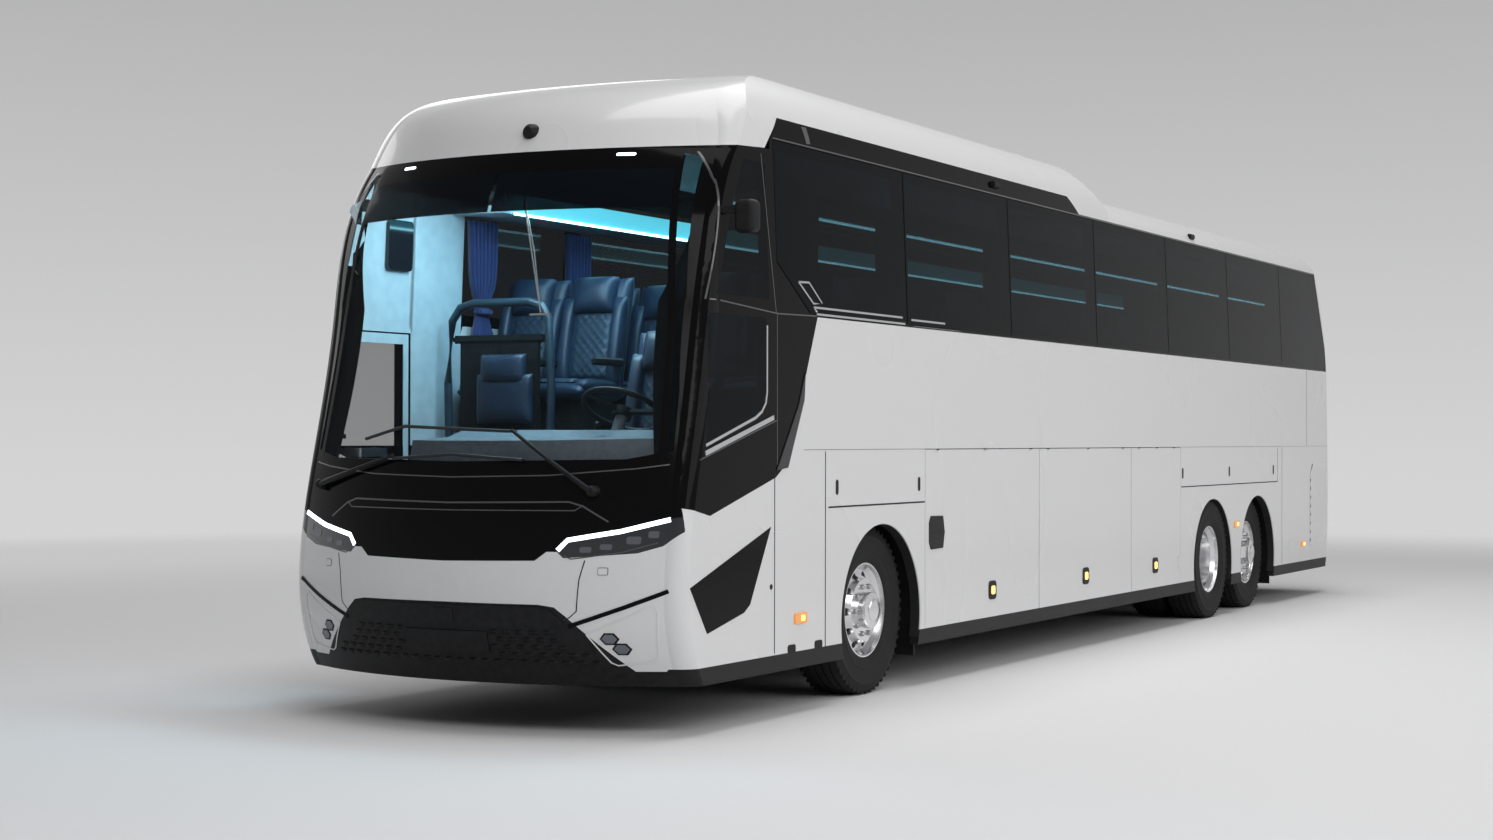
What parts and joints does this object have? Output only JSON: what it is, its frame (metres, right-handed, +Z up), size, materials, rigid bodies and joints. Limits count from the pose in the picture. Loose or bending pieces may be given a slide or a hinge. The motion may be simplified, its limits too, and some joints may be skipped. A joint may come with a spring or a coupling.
{
  "type": "coach bus",
  "caption": "High-deck touring coach with a tall black-glass front, side luggage holds, twin rear wheels and a tag axle.",
  "frame": {"origin": "on the ground under the middle of the coach", "axes": "+X to the front, +Y to the left, +Z up"},
  "size_m": [14, 2.91, 3.665],
  "materials": {
    "white_panel": "gloss",
    "black_panel": "gloss",
    "glass": "gloss",
    "lamp": "gloss",
    "red_lamp": "gloss",
    "amber_lamp": "gloss",
    "frame_steel": "satin",
    "floor": "satin",
    "trim": "satin",
    "seat_cloth": "matte",
    "rubber": "matte",
    "alloy": "polished"
  },
  "bodies": {
    "coach": {"roof": "white_panel", "roof_hatches": "black_panel", "windscreen": "glass", "front_mask": "black_panel", "front_bumper": "white_panel", "lower_grille": "trim", "headlamps": "lamp", "side_walls": "white_panel", "window_frames": "black_panel", "window_glass": "glass", "cab_sides": "black_panel", "lower_panels": "white_panel", "rear_wall": "white_panel", "rear_window": "glass", "tail_lamps": "red_lamp", "rear_bumper": "trim", "sills": "trim", "cabin_floor": "floor", "side_coves": "floor", "entry_steps": "floor", "luggage_hold": "floor", "wheel_boxes": "trim", "frame_rails": "frame_steel", "engine": "frame_steel", "front_axle": "frame_steel", "rear_axles": "frame_steel", "air_bellows": "rubber", "seats": "seat_cloth", "dashboard": "trim", "luggage_racks": "trim", "side_markers": "amber_lamp", "camera_pods": "trim"},
    "knuckle_left": {"knuckle_left": "frame_steel"},
    "wheel_steer_left": {"steer_left_tyre": "rubber", "steer_left_rim": "alloy"},
    "wheel_drive_left": {"drive_left_tyres": "rubber", "drive_left_rim": "alloy"},
    "wheel_tag_left": {"tag_left_tyre": "rubber", "tag_left_rim": "alloy"},
    "knuckle_right": {"knuckle_right": "frame_steel"},
    "wheel_steer_right": {"steer_right_tyre": "rubber", "steer_right_rim": "alloy"},
    "wheel_drive_right": {"drive_right_tyres": "rubber", "drive_right_rim": "alloy"},
    "wheel_tag_right": {"tag_right_tyre": "rubber", "tag_right_rim": "alloy"},
    "steering_wheel": {"steering_wheel": "trim"},
    "front_door_arms": {"front_door_arms": "frame_steel"},
    "front_door": {"front_door_leaf": "black_panel", "front_door_glass": "glass"},
    "mid_door_arms": {"mid_door_arms": "frame_steel"},
    "mid_door": {"mid_door_leaf": "black_panel", "mid_door_glass": "glass"},
    "luggage_flap_left_1": {"luggage_flap_left_1": "white_panel"},
    "luggage_flap_left_2": {"luggage_flap_left_2": "white_panel"},
    "luggage_flap_left_3": {"luggage_flap_left_3": "white_panel"},
    "luggage_flap_right_1": {"luggage_flap_right_1": "white_panel"},
    "luggage_flap_right_2": {"luggage_flap_right_2": "white_panel"},
    "engine_lid": {"engine_lid": "white_panel"}
  },
  "joints": [
    {"name": "steer_left", "type": "hinge", "parent": "coach", "child": "knuckle_left", "pos_m": [4.2, 0.895, 0.515], "axis": [0, 0, 1], "range_deg": [-45, 45]},
    {"name": "spin_steer_left", "type": "hinge", "parent": "knuckle_left", "child": "wheel_steer_left", "pos_m": [4.2, 1.035, 0.515], "axis": [0, 1, 0], "continuous": true},
    {"name": "spin_drive_left", "type": "hinge", "parent": "coach", "child": "wheel_drive_left", "pos_m": [-2.73, 0.945, 0.515], "axis": [0, 1, 0], "continuous": true},
    {"name": "spin_tag_left", "type": "hinge", "parent": "coach", "child": "wheel_tag_left", "pos_m": [-4.15, 1.035, 0.515], "axis": [0, 1, 0], "continuous": true},
    {"name": "steer_right", "type": "hinge", "parent": "coach", "child": "knuckle_right", "pos_m": [4.2, -0.895, 0.515], "axis": [0, 0, 1], "range_deg": [-45, 45]},
    {"name": "spin_steer_right", "type": "hinge", "parent": "knuckle_right", "child": "wheel_steer_right", "pos_m": [4.2, -1.035, 0.515], "axis": [0, 1, 0], "continuous": true},
    {"name": "spin_drive_right", "type": "hinge", "parent": "coach", "child": "wheel_drive_right", "pos_m": [-2.73, -0.945, 0.515], "axis": [0, 1, 0], "continuous": true},
    {"name": "spin_tag_right", "type": "hinge", "parent": "coach", "child": "wheel_tag_right", "pos_m": [-4.15, -1.035, 0.515], "axis": [0, 1, 0], "continuous": true},
    {"name": "steering_wheel_turn", "type": "hinge", "parent": "coach", "child": "steering_wheel", "pos_m": [6.195, 0.62, 1.67918], "axis": [-0.5, 0, 0.866], "range_deg": [-720, 720]},
    {"name": "front_door_swing", "type": "hinge", "parent": "coach", "child": "front_door_arms", "pos_m": [6.39, -1.185, 0.5], "axis": [0, 0, 1], "range_deg": [0, 161.29]},
    {"name": "front_door_parallel", "type": "hinge", "parent": "front_door_arms", "child": "front_door", "pos_m": [5.93805, -1.185, 0.5], "axis": [0, 0, 1], "range_deg": [-161.29, 0]},
    {"name": "mid_door_swing", "type": "hinge", "parent": "coach", "child": "mid_door_arms", "pos_m": [-1.65, -1.185, 0.5], "axis": [0, 0, -1], "range_deg": [0, 161.29]},
    {"name": "mid_door_parallel", "type": "hinge", "parent": "mid_door_arms", "child": "mid_door", "pos_m": [-1.19805, -1.185, 0.5], "axis": [0, 0, -1], "range_deg": [-161.29, 0]},
    {"name": "luggage_flap_left_1_lift", "type": "hinge", "parent": "coach", "child": "luggage_flap_left_1", "pos_m": [0.5, 1.267, 1.492], "axis": [1, 0, 0], "range_deg": [0, 80]},
    {"name": "luggage_flap_left_2_lift", "type": "hinge", "parent": "coach", "child": "luggage_flap_left_2", "pos_m": [0.5, 1.267, 1.492], "axis": [1, 0, 0], "range_deg": [0, 80]},
    {"name": "luggage_flap_left_3_lift", "type": "hinge", "parent": "coach", "child": "luggage_flap_left_3", "pos_m": [0.5, 1.267, 1.492], "axis": [1, 0, 0], "range_deg": [0, 80]},
    {"name": "luggage_flap_right_1_lift", "type": "hinge", "parent": "coach", "child": "luggage_flap_right_1", "pos_m": [0.5, -1.267, 1.492], "axis": [-1, 0, 0], "range_deg": [0, 80]},
    {"name": "luggage_flap_right_2_lift", "type": "hinge", "parent": "coach", "child": "luggage_flap_right_2", "pos_m": [0.5, -1.267, 1.492], "axis": [-1, 0, 0], "range_deg": [0, 80]},
    {"name": "engine_lid_lift", "type": "hinge", "parent": "coach", "child": "engine_lid", "pos_m": [-6.991, 0, 1.472], "axis": [0, 1, 0], "range_deg": [0, 75]}
  ],
  "couplings": [
    {"joint": "steer_right", "follows": "steer_left", "ratio": 1},
    {"joint": "steering_wheel_turn", "follows": "steer_left", "ratio": 16},
    {"joint": "front_door_parallel", "follows": "front_door_swing", "ratio": -1},
    {"joint": "mid_door_parallel", "follows": "mid_door_swing", "ratio": -1}
  ]
}
